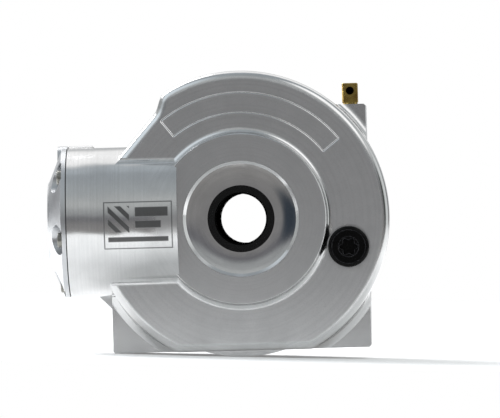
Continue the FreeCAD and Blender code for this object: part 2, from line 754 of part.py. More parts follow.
def pinion_shaft():
    """Bevel pinion cut on its shaft, with a splined input socket in the outer end."""
    ring_r, pinion_r, cone, ring_a, ring_d, pinion_a, pinion_d = gear_sizes()
    c = math.radians(cone)
    outward = V(math.sin(c), math.cos(c), 0)
    heel = V(-ring_r, pinion_r, 0)
    root_heel = heel - outward * pinion_d
    root_toe = root_heel * face_scale
    shoulder_x = pinion_seat_x
    blank = revolve_x([(root_toe.x + 2.0, 0), (root_toe.x + 2.0, root_toe.y - 3), (root_toe.x, root_toe.y),
                       (root_heel.x, root_heel.y), (root_heel.x - 2.0, root_heel.y + 1.5),
                       (shoulder_x, root_heel.y + 1.5), (shoulder_x, pin_journal_r),
                       (pinion_shaft_end_x + 1, pin_journal_r), (pinion_shaft_end_x, pin_journal_r - 1),
                       (pinion_shaft_end_x, 0)])
    tooth = bevel_tooth(pinion_teeth, cone, pinion_a, pinion_d, heel, outward, Z)
    teeth = []
    for k in range(pinion_teeth):
        one = tooth.copy()
        one.rotate(O, X, 360.0 * k / pinion_teeth)
        teeth.append(one)
    gear = blank.fuse(teeth)
    end = V(pinion_shaft_end_x, 0, 0)
    socket = Part.makeCylinder(socket_r, socket_depth, end, X)
    tip = Part.makeCone(socket_r, 0, 5, end + X * socket_depth, X)
    mouth = Part.makeCone(socket_root_r + 0.8, socket_root_r - 0.4, 1.2, end, X)
    grooves = splines(socket_r, socket_root_r, socket_teeth, end, X, socket_spline)
    return one_solid(gear.cut([socket, tip, mouth]).cut(grooves))


def axle_spool():
    """Hollow spool with a flange for the ring gear and splines in both ends."""
    flange_back = flange_y + flange_w
    front_end = front_brg_y + out_brg_w
    hub_r = gear_hub_r - thin
    body = revolve_y([(spool_bore_r, spool_front_y), (journal_r - 1, spool_front_y),
                      (journal_r, spool_front_y + 1), (journal_r, front_end), (spool_body_r, front_end),
                      (spool_body_r, flange_y - 14), (hub_r, flange_y - 8), (hub_r, flange_y),
                      (flange_r - 1, flange_y), (flange_r, flange_y + 1), (flange_r, flange_back - 1),
                      (flange_r - 1, flange_back), (gear_hub_r - 3, flange_back),
                      (spool_body_r, rear_brg_y - 3), (spool_body_r, rear_brg_y),
                      (journal_r, rear_brg_y), (journal_r, spool_rear_y - 1),
                      (journal_r - 1, spool_rear_y), (spool_bore_r, spool_rear_y)])
    for start, way in ((spool_front_y, Y), (spool_rear_y, V(0, -1, 0))):
        at = V(0, start, 0)
        body = body.cut(splines(spool_bore_r, spline_root_r, spline_teeth, at, way, spline_len))
        body = body.cut(Part.makeCone(spline_root_r + 0.9, spline_root_r - 0.3, 1.2, at, way))
    holes = []
    for k in range(ring_bolts):
        at = on_circle(ring_bolt_pcr, 360.0 * k / ring_bolts, flange_y - 2)
        holes.append(Part.makeCylinder(ring_bolt_r + 0.3, flange_w + 4, at, Y))
    return one_solid(body.cut(holes))


# ---- small pieces on the pinion ----
def pinion_nut():
    """Slotted lock nut that clamps the pinion bearings."""
    x0 = pinion_places()[2] - nut_w
    nut = ring(nut_r, pin_journal_r, x0, nut_w, X)
    slots = []
    for k in range(4):
        slot = Part.makeBox(nut_w + 2, 6, 6, V(x0 - 1, -3, nut_r - 2.6))
        slot.rotate(O, X, 90 * k)
        slots.append(slot)
    return one_solid(nut.cut(slots))


def pinion_places():
    """Starts of the inner bearing, the spacers, the outer bearing and the shim along X."""
    inner = pinion_seat_x - pin_brg_w
    outer = inner - brg_gap - pin_brg_w
    return inner, inner - brg_gap, outer, outer - shim_t


# ---- plugs and vent ----
def fill_plug():
    """Black fill plug with a round head and a lobed socket."""
    seat_y = disc_front_y + plug_spot_depth
    at = V(plug_x, seat_y - plug_head_t, plug_z)
    head = Part.makeCylinder(plug_head_r, plug_head_t, at, Y)
    rim = [e for e in head.Edges if abs(e.BoundBox.YMax - seat_y + plug_head_t) < 0.01]
    head = head.makeFillet(2.2, rim)
    shank = Part.makeCylinder(plug_thread_r - thin, 9.0, V(plug_x, seat_y - 0.5, plug_z), Y)
    plug = head.fuse(shank)
    face = ring(plug_head_r - 2.6, plug_socket_r + 1.6, 0, 0.4, Y)
    face.translate(at)
    socket = lobed_prism(plug_socket_r, 0.9, plug_lobes, at - Y, Y, 6.0)
    groove = Part.makeTorus(plug_thread_r + 1.4, oring_r + 0.05, V(plug_x, seat_y - oring_r, plug_z), Y)
    return one_solid(plug.cut([face, socket, groove]))


def fill_plug_oring():
    """O-ring under the head of the fill plug."""
    seat_y = disc_front_y + plug_spot_depth
    return Part.makeTorus(plug_thread_r + 1.4, oring_r, V(plug_x, seat_y - oring_r, plug_z), Y)


def drain_plug():
    """Drain plug with a collar and a hexagon socket, low on the rear cover."""
    seat_y = case_back_y + gasket_t + cover_t + 1.5
    head = Part.makeCylinder(drain_head_r, 5.0, V(0, seat_y, drain_z), Y)
    rim = [e for e in head.Edges if abs(e.BoundBox.YMin - seat_y - 5.0) < 0.01]
    head = head.makeChamfer(1.0, rim)
    plug = head.fuse(Part.makeCylinder(drain_r - thin, 12.5, V(0, seat_y - 12.5, drain_z), Y))
    return one_solid(plug.cut(hexagon(8, V(0, seat_y + 5.0, drain_z), V(0, -1, 0), 5.5)))


def drain_washer():
    """Copper washer of the drain plug."""
    y0 = case_back_y + gasket_t + cover_t
    return ring(drain_head_r - 0.5, drain_r + 0.2, y0, 1.5, Y, V(0, 0, drain_z))


def vent_elbow():
    """Brass vent elbow on the block, its port facing the front."""
    half = vent_w / 2
    body = Part.makeBox(vent_w, vent_w, vent_h - 1.2, V(vent_x - half, vent_y - half, block_top + 1.2))
    body = body.makeFillet(1.4, [e for e in body.Edges if e.BoundBox.ZLength > 5])
    body = body.makeChamfer(0.6, [e for e in body.Edges if e.BoundBox.ZMin > block_top + vent_h - 0.1])
    neck = Part.makeCylinder(vent_thread_r + 0.6, 1.4, V(vent_x, vent_y, block_top), Z)
    stem = Part.makeCylinder(vent_thread_r - thin, vent_thread_len - 1,
                             V(vent_x, vent_y, block_top - vent_thread_len + 1), Z)
    port_z = block_top + vent_port_z
    collar = Part.makeCylinder(4.3, 1.2, V(vent_x, vent_y - half - 1.2, port_z), Y)
    elbow = body.fuse([neck, stem, collar])
    mouth = V(vent_x, vent_y - half - 1.2, port_z)
    port = Part.makeCylinder(vent_hole_r, vent_port_depth, mouth, Y)
    link = Part.makeCylinder(vent_bore_r - 0.4, half + 1.2, mouth, Y)
    bore = Part.makeCylinder(vent_bore_r, vent_thread_len + vent_port_z + 3.0,
                             V(vent_x, vent_y, block_top - vent_thread_len), Z)
    return one_solid(elbow.cut([port, link, bore]))


def build():
    """Make and save every piece."""
    os.makedirs("parts", exist_ok=True)
    save("main_housing", main_housing())
    save("rear_cover", rear_cover())
    save("rear_cover_gasket", rear_cover_gasket())
    save("rear_cover_screws", rear_cover_screws())
    save("cover_dowel_pins", cover_dowel_pins())
    save("pinion_cap", pinion_cap())
    save("pinion_cap_gasket", pinion_cap_gasket())
    save("pinion_cap_screws", pinion_cap_screws())
    save("axle_spool", axle_spool())
    save("ring_gear", ring_gear())
    save("ring_gear_bolts", ring_gear_bolts())
    save("pinion_shaft", pinion_shaft())
    save("pinion_nut", pinion_nut())
    for name, start in (("front", front_brg_y), ("rear", rear_brg_y)):
        sizes = (journal_r, out_brg_r, out_brg_w, brg_ball_r, brg_balls)
        inner, outer, balls = bearing(*sizes, start, Y)
        save(name + "_bearing_inner_race", inner)
        save(name + "_bearing_outer_race", outer)
        save(name + "_bearing_balls", balls)
    inner_x, gap_x, outer_x, shim_x = pinion_places()
    for name, start in (("pinion_inner", inner_x), ("pinion_outer", outer_x)):
        sizes = (pin_journal_r, pinion_seat_r, pin_brg_w, pin_ball_r, pin_balls)
        inner, outer, balls = bearing(*sizes, start, X)
        save(name + "_bearing_inner_race", inner)
        save(name + "_bearing_outer_race", outer)
        save(name + "_bearing_balls", balls)
    save("pinion_inner_spacer", ring(pin_journal_r + 4, pin_journal_r, gap_x, brg_gap, X))
    save("pinion_outer_spacer", ring(pinion_seat_r, pinion_seat_r - 4, gap_x, brg_gap, X))
    save("pinion_shim", ring(pinion_seat_r, cap_bore_r + 5.5, shim_x, shim_t, X))
    save("front_output_seal", oil_seal(seal_r, lip_r, seal_w, front_seal_y, Y, 1))
    save("rear_output_seal", oil_seal(seal_r, lip_r, seal_w, rear_seal_y, Y, -1))
    save("pinion_seal", oil_seal(pin_seal_r, pin_journal_r + 0.3, pin_seal_w - 0.4, cap_end_x + 0.4, X, 1))
    save("fill_plug", fill_plug())
    save("fill_plug_oring", fill_plug_oring())
    save("drain_plug", drain_plug())
    save("drain_washer", drain_washer())
    save("vent_elbow", vent_elbow())


build()
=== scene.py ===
import bpy
import math
from mathutils import Matrix, Vector

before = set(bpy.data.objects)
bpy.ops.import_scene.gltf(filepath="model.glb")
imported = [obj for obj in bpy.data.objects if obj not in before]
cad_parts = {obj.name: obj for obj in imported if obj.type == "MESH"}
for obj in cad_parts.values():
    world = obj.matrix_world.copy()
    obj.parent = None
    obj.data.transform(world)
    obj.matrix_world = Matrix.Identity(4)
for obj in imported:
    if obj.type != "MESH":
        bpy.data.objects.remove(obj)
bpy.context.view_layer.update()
print("frame loaded:", len(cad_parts), "nodes")


def hexColour(code):  # sRGB hex to linear
    parts = [int(code[i:i + 2], 16) / 255 for i in (1, 3, 5)]
    return tuple(c / 12.92 if c <= 0.04045 else ((c + 0.055) / 1.055) ** 2.4 for c in parts) + (1.0,)


def addNode(tree, kind, inputs=None, **settings):  # an input is a value, a socket, or a node
    node = tree.nodes.new(kind)
    for key, value in settings.items():
        setattr(node, key, value)
    for key, value in (inputs or {}).items():
        if isinstance(value, bpy.types.Node):  # a node stands for the output that its settings turn on
            value = [out for out in value.outputs if out.enabled][0]
        if isinstance(value, bpy.types.NodeSocket):
            tree.links.new(value, node.inputs[key])
        else:
            node.inputs[key].default_value = value
    return node


def newMaterial(name, **shaderValues):  # empty material with one principled shader
    mat = bpy.data.materials.new(name)
    mat.use_nodes = True
    tree = mat.node_tree
    tree.nodes.clear()
    values = {key.replace("_", " "): value for key, value in shaderValues.items()}
    shader = addNode(tree, "ShaderNodeBsdfPrincipled", values)
    addNode(tree, "ShaderNodeOutputMaterial", {"Surface": shader})
    return mat, tree, shader


def wireShader(tree, shader, colour, rough, bump):  # the three patterns that every finish drives
    for key, node in (("Base Color", colour), ("Roughness", rough), ("Normal", bump)):
        tree.links.new([out for out in node.outputs if out.enabled][0], shader.inputs[key])


def millimetres(tree):  # place on the piece in mm
    metres = addNode(tree, "ShaderNodeTexCoord").outputs["Object"]
    return addNode(tree, "ShaderNodeVectorMath", {0: metres, "Scale": 1000.0}, operation="SCALE")


def distanceFrom(tree, place, keep):  # distance from an axis, keep holds 0 along that axis
    flat = addNode(tree, "ShaderNodeVectorMath", {0: place, 1: keep}, operation="MULTIPLY")
    return addNode(tree, "ShaderNodeVectorMath", {0: flat}, operation="LENGTH")


def insideSpan(tree, value, low, high, soft):  # 1 inside a span, 0 outside, soft mm at each end
    middle, half = (low + high) / 2, (high - low) / 2
    away = addNode(tree, "ShaderNodeMath", {0: value, 1: middle}, operation="SUBTRACT")
    away = addNode(tree, "ShaderNodeMath", {0: away}, operation="ABSOLUTE")
    return addNode(tree, "ShaderNodeMapRange", {0: away, 1: half + soft, 2: half - soft})


def toolLines(tree, value, pitch):  # soft random lines across one measure, pitch in mm
    step = addNode(tree, "ShaderNodeMath", {0: value, 1: 1.0 / pitch}, operation="MULTIPLY")
    return addNode(tree, "ShaderNodeTexNoise", {"W": step, "Scale": 1.0, "Detail": 0.8, "Roughness": 0.6},
                   noise_dimensions="1D")


def edgeWearAndHighlight(tree, radius):  # 1 where an edge is near, radius in mm
    soft = addNode(tree, "ShaderNodeBevel", {"Radius": radius / 1000}, samples=4)
    sharp = addNode(tree, "ShaderNodeNewGeometry").outputs["Normal"]
    along = addNode(tree, "ShaderNodeVectorMath", {0: soft, 1: sharp}, operation="DOT_PRODUCT")
    return addNode(tree, "ShaderNodeMapRange", {0: along, 1: 0.99, 2: 0.85})


def dressNodes(mat, *names):  # every material slot of these CAD nodes
    for name in names:
        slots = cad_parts[name].data.materials
        if not slots:
            slots.append(mat)
        for index in range(len(slots)):
            slots[index] = mat


# billet aluminium 6061: the case, turned in front and milled on the block; sizes and places are in mm,
# relief is in metres
caseLook = {
    "metal": "#dfdfdf", "shade": "#cfcfcf", "feed": "#bdbdbd", "etch": "#3a3a3a",
    "faceRoughness": 0.30, "edgeRoughness": 0.15, "dishRoughness": 0.09, "snoutRoughness": 0.15,
    "blockRoughness": 0.34, "bandRoughness": 0.17, "etchRoughness": 0.5,
    "turnPitch": 2.6,  # feed marks are really 0.15 mm apart, drawn coarser so that they show
    "bandPitch": 1.5,  # the same marks on the snout and its bare band, which a finer feed left
    "millPitch": 2.8,  # cutter steps on the block are really 0.5 mm, drawn coarser
    "smudgeSize": 22.0,
    "scratchSize": 0.6,  # dings from handling are finer still, drawn coarser
    "markRelief": 0.00003, "scratchDepth": 0.06,
    "waveSize": 30.0, "waveRelief": 0.0010,  # the snout is lapped by hand, so it is not quite true
    "discY": -31.0, "blockY": -7.0, "dishR": 40.7, "snoutR": 53.2, "snoutX": -60.0, "bandX": -102.2,
}
markLook = {
    "centre": (-71.5, -2.5), "half": (24.0, 16.5), "line": 0.7, "soft": 0.3, "inset": 3.0,
    "hatch": 4.4, "gap": 1.9, "hatchSoft": 0.6,
    "fade": (-30.0, -34.0),  # the mark is on the front of the snout only
}


def etchedMark(tree, split):  # blank data plate: a frame round slanted hatching and three bars
    cx, cz = markLook["centre"]
    hx, hz = markLook["half"]
    line, soft = markLook["line"], markLook["soft"]
    slant = addNode(tree, "ShaderNodeMath", {0: split["X"], 1: split["Z"]}, operation="ADD")
    wave = addNode(tree, "ShaderNodeMath", {0: slant, 1: markLook["hatch"]}, operation="PINGPONG")
    hatch = addNode(tree, "ShaderNodeMapRange",
                    {0: wave, 1: markLook["gap"], 2: markLook["gap"] + markLook["hatchSoft"]})
    left, right, top = cx - hx + markLook["inset"], cx + hx - markLook["inset"], cz + hz - markLook["inset"]
    boxes = [  # what shows there, then the ends along the snout and the bottom and top
        (1.0, cx - hx, cx + hx, cz - hz, cz - hz + line), (1.0, cx - hx, cx + hx, cz + hz - line, cz + hz),
        (1.0, cx - hx, cx - hx + line, cz - hz, cz + hz), (1.0, cx + hx - line, cx + hx, cz - hz, cz + hz),
        (hatch, left, cx - 6.0, cz - 5.0, top), (1.0, cx - 2.0, right, cz + 6.0, cz + 12.5),
        (1.0, cx - 2.0, right - 5.0, cz - 2.0, cz + 3.0), (1.0, left, right, cz - 11.5, cz - 8.2),
    ]
    total = 0.0
    for pattern, x0, x1, z0, z1 in boxes:
        bar = addNode(tree, "ShaderNodeMath", {0: insideSpan(tree, split["X"], x0, x1, soft),
                                               1: insideSpan(tree, split["Z"], z0, z1, soft)},
                      operation="MULTIPLY")
        bar = addNode(tree, "ShaderNodeMath", {0: bar, 1: pattern}, operation="MULTIPLY")
        total = addNode(tree, "ShaderNodeMath", {0: total, 1: bar}, operation="MAXIMUM")
    fadeStart, fadeEnd = markLook["fade"]
    front = addNode(tree, "ShaderNodeMapRange", {0: split["Y"], 1: fadeStart, 2: fadeEnd})
    return addNode(tree, "ShaderNodeMath", {0: total, 1: front}, operation="MULTIPLY")


def machinedCase():
    # Turning leaves fine rings that spread the light across them. The dish and the snout are lapped to a soft
    # mirror, the block keeps straight cutter marks, and handling leaves cloudy patches over all of it.
    look = caseLook
    mat, tree, shader = newMaterial("billetAluminiumTurned", Metallic=1.0)
    place = millimetres(tree)
    split = addNode(tree, "ShaderNodeSeparateXYZ", {0: place}).outputs
    normal = addNode(tree, "ShaderNodeTexCoord").outputs["Normal"]
    facing = addNode(tree, "ShaderNodeSeparateXYZ", {0: normal}).outputs
    fromAxis = distanceFrom(tree, place, (1, 0, 1))
    fromSnout = distanceFrom(tree, place, (0, 1, 1))
    flatFront = addNode(tree, "ShaderNodeMapRange", {0: facing["Y"], 1: -0.93, 2: -0.99})
    onFront = addNode(tree, "ShaderNodeMapRange", {0: split["Y"], 1: look["discY"] + 2.0, 2: look["discY"]})
    face = addNode(tree, "ShaderNodeMath", {0: flatFront, 1: onFront}, operation="MULTIPLY")
    dish = addNode(tree, "ShaderNodeMapRange",
                   {0: fromAxis, 1: look["dishR"] + 0.2, 2: look["dishR"] - 0.2})
    dish = addNode(tree, "ShaderNodeMath", {0: dish, 1: onFront}, operation="MULTIPLY")
    snout = addNode(tree, "ShaderNodeMapRange",
                    {0: fromSnout, 1: look["snoutR"] + 0.3, 2: look["snoutR"] - 0.3})
    beyond = addNode(tree, "ShaderNodeMapRange",
                     {0: split["X"], 1: look["snoutX"] + 4, 2: look["snoutX"] - 4})
    snout = addNode(tree, "ShaderNodeMath", {0: snout, 1: beyond}, operation="MULTIPLY")
    band = addNode(tree, "ShaderNodeMapRange",
                   {0: split["X"], 1: look["bandX"] + 0.1, 2: look["bandX"] - 0.1})
    band = addNode(tree, "ShaderNodeMath", {0: snout, 1: band}, operation="MULTIPLY")
    block = addNode(tree, "ShaderNodeMapRange",
                    {0: split["Y"], 1: look["blockY"] - 2, 2: look["blockY"] + 2})
    block = addNode(tree, "ShaderNodeMath", {0: block, 1: snout}, operation="SUBTRACT", use_clamp=True)
    smudge = addNode(tree, "ShaderNodeTexNoise",
                     {"Vector": place, "Scale": 1 / look["smudgeSize"], "Detail": 3.0})
    scratch = addNode(tree, "ShaderNodeTexNoise",
                      {"Vector": place, "Scale": 1 / look["scratchSize"], "Detail": 4.0})
    marks = toolLines(tree, fromAxis, look["turnPitch"])
    depth = 0.12
    rough = look["edgeRoughness"]
    zones = [  # where, which marks run there, how deep they are and how rough it is
        (face, marks, 0.16, look["faceRoughness"]),
        (block, toolLines(tree, split["Z"], look["millPitch"]), 0.40, look["blockRoughness"]),
        (dish, marks, 0.15, look["dishRoughness"]),
        (snout, toolLines(tree, split["X"], look["bandPitch"]), 0.05, look["snoutRoughness"]),
        (band, toolLines(tree, split["X"], look["bandPitch"]), 0.90, look["bandRoughness"]),
    ]
    for where, lines, zoneDepth, zoneRoughness in zones:
        marks = addNode(tree, "ShaderNodeMix", {0: where, 2: marks, 3: lines})
        depth = addNode(tree, "ShaderNodeMix", {0: where, 2: depth, 3: zoneDepth})
        rough = addNode(tree, "ShaderNodeMix", {0: where, 2: rough, 3: zoneRoughness})
    height = addNode(tree, "ShaderNodeMath", {0: marks, 1: depth}, operation="MULTIPLY")
    height = addNode(tree, "ShaderNodeMath", {0: scratch, 1: look["scratchDepth"], 2: height},
                     operation="MULTIPLY_ADD")
    bump = addNode(tree, "ShaderNodeBump", {"Height": height, "Strength": 0.6, "Distance": look["markRelief"]})
    wave = addNode(tree, "ShaderNodeTexNoise", {"Vector": place, "Scale": 1 / look["waveSize"], "Detail": 1.0})
    wave = addNode(tree, "ShaderNodeMath", {0: wave, 1: snout}, operation="MULTIPLY")
    bump = addNode(tree, "ShaderNodeBump", {"Height": wave, "Strength": 1.0, "Distance": look["waveRelief"],
                                            "Normal": bump})
    cloud = addNode(tree, "ShaderNodeMapRange", {0: smudge, 1: 0.3, 2: 0.7, 3: -0.02, 4: 0.03})
    rough = addNode(tree, "ShaderNodeMath", {0: cloud, 1: rough}, operation="ADD")
    etch = etchedMark(tree, split)
    worn = hexColour(look["metal"])
    tones = [  # the pattern, where it starts and is full, how much of the tone it brings
        (smudge, 0.35, 0.75, 1.0, look["shade"]), (marks, 0.35, 0.75, 0.22, look["feed"]),
        (scratch, 0.5, 0.8, 0.5, look["feed"]), (etch, 0.0, 1.0, 0.85, look["etch"]),
    ]
    for pattern, low, high, most, code in tones:
        amount = addNode(tree, "ShaderNodeMapRange", {0: pattern, 1: low, 2: high, 4: most})
        worn = addNode(tree, "ShaderNodeMix", {0: amount, 6: worn, 7: hexColour(code)}, data_type="RGBA")
    rough = addNode(tree, "ShaderNodeMix", {0: etch, 2: rough, 3: look["etchRoughness"]})
    wireShader(tree, shader, worn, rough, bump)
    return mat


dressNodes(machinedCase(), "main_housing")
print("case dressed")

# cast aluminium faced on a lathe: the rear cover turns about the bore, the cap about the snout
coverLook = {
    "castAluminiumFaced": {"node": "rear_cover", "keep": (1, 0, 1),
                           "metal": "#b9bbbe", "shade": "#9fa1a4", "worn": "#d8dadb",
                           "roughness": 0.36, "wornRoughness": 0.18, "pitch": 1.6, "smudgeSize": 17.0,
                           "skinSize": 1.3, "relief": 0.00003, "skinRelief": 0.00005},
    "aluminiumCapFaced": {"node": "pinion_cap", "keep": (0, 1, 1),
                          "metal": "#d0d1d2", "shade": "#bcbec1", "worn": "#f0f0f0",
                          "roughness": 0.33, "wornRoughness": 0.18, "pitch": 0.9, "smudgeSize": 17.0,
                          "skinSize": 1.3, "relief": 0.00003, "skinRelief": 0.00001},
}


def turnedCover(name, look):
    # Rings round its own axis, a satin sheen, edges rubbed bright and a little of the cast skin between the
    # rings. Feed marks are really 0.2 mm apart, drawn coarser so that they show.
    mat, tree, shader = newMaterial(name, Metallic=1.0)
    place = millimetres(tree)
    rings = toolLines(tree, distanceFrom(tree, place, look["keep"]), look["pitch"])
    smudge = addNode(tree, "ShaderNodeTexNoise",
                     {"Vector": place, "Scale": 1 / look["smudgeSize"], "Detail": 3.0})
    wear = edgeWearAndHighlight(tree, 0.5)
    cloud = addNode(tree, "ShaderNodeMapRange", {0: smudge, 1: 0.3, 2: 0.7, 3: -0.04, 4: 0.05})
    rough = addNode(tree, "ShaderNodeMath", {0: cloud, 1: look["roughness"]}, operation="ADD")
    rough = addNode(tree, "ShaderNodeMix", {0: wear, 2: rough, 3: look["wornRoughness"]})
    colour = addNode(tree, "ShaderNodeMix",
                     {0: smudge, 6: hexColour(look["metal"]), 7: hexColour(look["shade"])}, data_type="RGBA")
    colour = addNode(tree, "ShaderNodeMix",
                     {0: wear, 6: colour, 7: hexColour(look["worn"])}, data_type="RGBA")
    bump = addNode(tree, "ShaderNodeBump", {"Height": rings, "Strength": 0.6, "Distance": look["relief"]})
    skin = addNode(tree, "ShaderNodeTexNoise",
                   {"Vector": place, "Scale": 1 / look["skinSize"], "Detail": 3.0})
    bump = addNode(tree, "ShaderNodeBump", {"Height": skin, "Strength": 0.8, "Distance": look["skinRelief"],
                                            "Normal": bump})
    wireShader(tree, shader, colour, rough, bump)
    return mat


for coverName, coverValues in coverLook.items():
    dressNodes(turnedCover(coverName, coverValues), coverValues["node"])
print("covers dressed")

# steels, rubber and the rest; grain is the size of the mottle and wear the width of a rubbed edge, which on
# black oxide is also a painted highlight, in mm, relief is in metres, and hole is the place and radius of a
# port painted dark as shade
finishLook = {
    # black oxide on turned steel: a deep neutral black, oiled, with a light edge tone that is bare steel where
    # edges rub through and also a painted rim highlight
    "blackOxideSteel": {"colour": "#020202", "other": "#050505", "edge": "#5a5a5e", "metallic": 0.0,
                        "roughness": 0.26, "grain": 1.1, "relief": 0.00002, "wear": 0.6, "gloss": 0.12},
    # the same oxide left dry on the splines: dead black, hardly any shine
    "dryBlackOxideSteel": {"colour": "#010101", "other": "#030303", "edge": "#0c0c0c", "metallic": 0.0,
                           "roughness": 0.55, "grain": 1.1, "relief": 0.00002, "wear": 0.2, "gloss": 0.0},
    # carburised and ground gear steel: cool grey, fine grinding lines and an oil film
    "groundGearSteel": {"colour": "#8f9194", "other": "#7c7e82", "edge": "#c4c6c9", "metallic": 1.0,
                        "roughness": 0.27, "grain": 0.8, "relief": 0.00002, "wear": 0.3},
    # bearing steel, superfinished: near mirror, hardly any grain
    "superfinishedBearingSteel": {"colour": "#c3c5c8", "other": "#b4b6ba", "edge": "#e2e3e5", "metallic": 1.0,
                                  "roughness": 0.10, "grain": 0.5, "relief": 0.000005, "wear": 0.2},
    # zinc plated screws: warm grey with a slight yellow and a coarse plated skin
    "zincPlatedSteel": {"colour": "#97968f", "other": "#7d7c77", "edge": "#d0cfca", "metallic": 1.0,
                        "roughness": 0.36, "grain": 0.6, "relief": 0.00005, "wear": 0.3},
    # moulded nitrile rubber: black, slightly greasy, with flow marks from the mould
    "mouldedNitrile": {"colour": "#050505", "other": "#0a0a0b", "edge": "#151516", "metallic": 0.0,
                       "roughness": 0.26, "grain": 1.4, "relief": 0.00004, "wear": 0.8, "gloss": 0.3},
    # pressed fibre gasket: matte dark grey, felted
    "pressedFibre": {"colour": "#3a3b3d", "other": "#2c2d2f", "edge": "#4a4b4d", "metallic": 0.0,
                     "roughness": 0.75, "grain": 0.4, "relief": 0.00008, "wear": 0.6},
    # rolled copper washer: salmon metal, bruised where it seals
    "rolledCopper": {"colour": "#b8714e", "other": "#9a5a3c", "edge": "#d99a78", "metallic": 1.0,
                     "roughness": 0.28, "grain": 1.0, "relief": 0.00003, "wear": 0.5},
    # forged and machined brass: yellow olive with brown tarnish in its skin
    "machinedBrass": {"colour": "#b39b55", "other": "#886b38", "edge": "#dcc684", "metallic": 1.0,
                      "roughness": 0.24, "grain": 2.0, "relief": 0.00004, "wear": 0.35,
                      "hole": (77.6, 88.1, 2.9), "holeColour": "#150f06"},
}
cloudSize = 8.0  # mm, how wide the patches of the second tone are


def finish(name):
    look = finishLook[name]
    mat, tree, shader = newMaterial(name, Metallic=look["metallic"],
                                    Specular_IOR_Level=look.get("gloss", 0.5))
    place = millimetres(tree)
    cloud = addNode(tree, "ShaderNodeTexNoise", {"Vector": place, "Scale": 1 / cloudSize, "Detail": 4.0})
    cloud = addNode(tree, "ShaderNodeMapRange", {0: cloud, 1: 0.35, 2: 0.65})
    grain = addNode(tree, "ShaderNodeTexNoise", {"Vector": place, "Scale": 1 / look["grain"], "Detail": 4.0,
                                                 "Roughness": 0.65})
    broken = addNode(tree, "ShaderNodeMapRange", {0: grain, 1: 0.35, 2: 0.6})
    # the light edge tone is rubbed bare metal, and on black oxide also a painted rim highlight
    broken = addNode(tree, "ShaderNodeMath", {0: edgeWearAndHighlight(tree, look["wear"]), 1: broken}, operation="MULTIPLY")
    colour = addNode(tree, "ShaderNodeMix",
                     {0: cloud, 6: hexColour(look["colour"]), 7: hexColour(look["other"])}, data_type="RGBA")
    colour = addNode(tree, "ShaderNodeMix",
                     {0: broken, 6: colour, 7: hexColour(look["edge"])}, data_type="RGBA")
    if "hole" in look:  # painted shade fills the port that opens to the front
        x, z, radius = look["hole"]
        away = addNode(tree, "ShaderNodeVectorMath", {0: place, 1: (x, 0, z)}, operation="SUBTRACT")
        away = distanceFrom(tree, away, (1, 0, 1))
        dark = addNode(tree, "ShaderNodeMapRange", {0: away, 1: radius + 0.2, 2: radius - 0.2})
        colour = addNode(tree, "ShaderNodeMix", {0: dark, 6: colour, 7: hexColour(look["holeColour"])},
                         data_type="RGBA")
    rough = addNode(tree, "ShaderNodeMapRange", {0: grain, 1: 0.25, 2: 0.75, 3: look["roughness"] - 0.05,
                                                 4: look["roughness"] + 0.07})
    bump = addNode(tree, "ShaderNodeBump", {"Height": grain, "Strength": 0.7, "Distance": look["relief"]})
    wireShader(tree, shader, colour, rough, bump)
    return mat


finishOf = {
    "blackOxideSteel": ["fill_plug", "ring_gear_bolts", "drain_plug", "rear_cover_screws"],
    "dryBlackOxideSteel": ["axle_spool"],
    "groundGearSteel": ["ring_gear", "pinion_shaft", "pinion_nut", "pinion_inner_spacer", "pinion_outer_spacer",
                        "pinion_shim"],
    "superfinishedBearingSteel": [name for name in sorted(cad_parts) if "_bearing_" in name]
    + ["cover_dowel_pins"],
    "zincPlatedSteel": ["pinion_cap_screws"],
    "mouldedNitrile": ["front_output_seal", "rear_output_seal", "pinion_seal", "fill_plug_oring"],
    "pressedFibre": ["rear_cover_gasket", "pinion_cap_gasket"],
    "rolledCopper": ["drain_washer"],
    "machinedBrass": ["vent_elbow"],
}
for finishName, nodes in finishOf.items():
    dressNodes(finish(finishName), *nodes)
print("steels, rubber and brass dressed")

# seamless paper that the case stands on
floorLook = {
    "tilt": 2.71, "touchR": 0.0968, "front": 0.31, "back": 3.0, "side": 2.4,  # degrees, then metres
    "colour": "#f6f6f5", "tooth": "#f0f0ef", "toothSize": 2.5,  # mm; paper tooth is finer, drawn coarser
    "paintedGlow": (0.12, 0.50), "paintedGlowSpan": (140.0, 480.0),  # painted glow of the paper near the case and far from it, and where in mm; weaker near the case, painted shade round it
}


